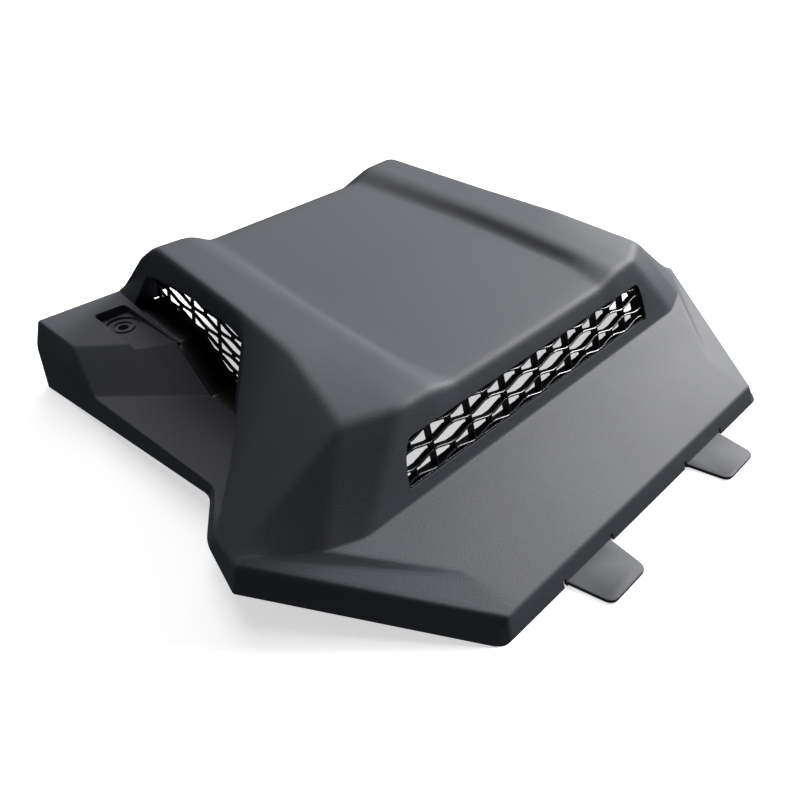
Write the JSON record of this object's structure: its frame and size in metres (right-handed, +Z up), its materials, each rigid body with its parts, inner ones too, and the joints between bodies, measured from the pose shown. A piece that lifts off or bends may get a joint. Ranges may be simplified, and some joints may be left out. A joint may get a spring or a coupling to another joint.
{
  "type": "bonnet scoop",
  "caption": "Moulded off-road bonnet panel with a raised air scoop, honeycomb grilles at the front and sides, folded rim, fastener pockets and front tabs",
  "frame": {"origin": "middle of the bounding box, at the height of the lowest point of the rim", "axes": "X runs across the panel, the front edge and tabs face -Y, the rear hem faces +Y, Z is up"},
  "size_m": [0.7418, 0.669, 0.1683],
  "materials": {
    "panel": "fine-grained moulded plastic, dark grey",
    "grille": "satin black moulded plastic",
    "screw": "zinc-plated steel"
  },
  "bodies": {
    "root": {"scoop_panel": "panel", "front_grille": "grille", "side_grille_left": "grille", "side_grille_right": "grille", "front_grille_screws": "screw", "side_grille_screws_left": "screw", "side_grille_screws_right": "screw"}
  },
  "joints": []
}
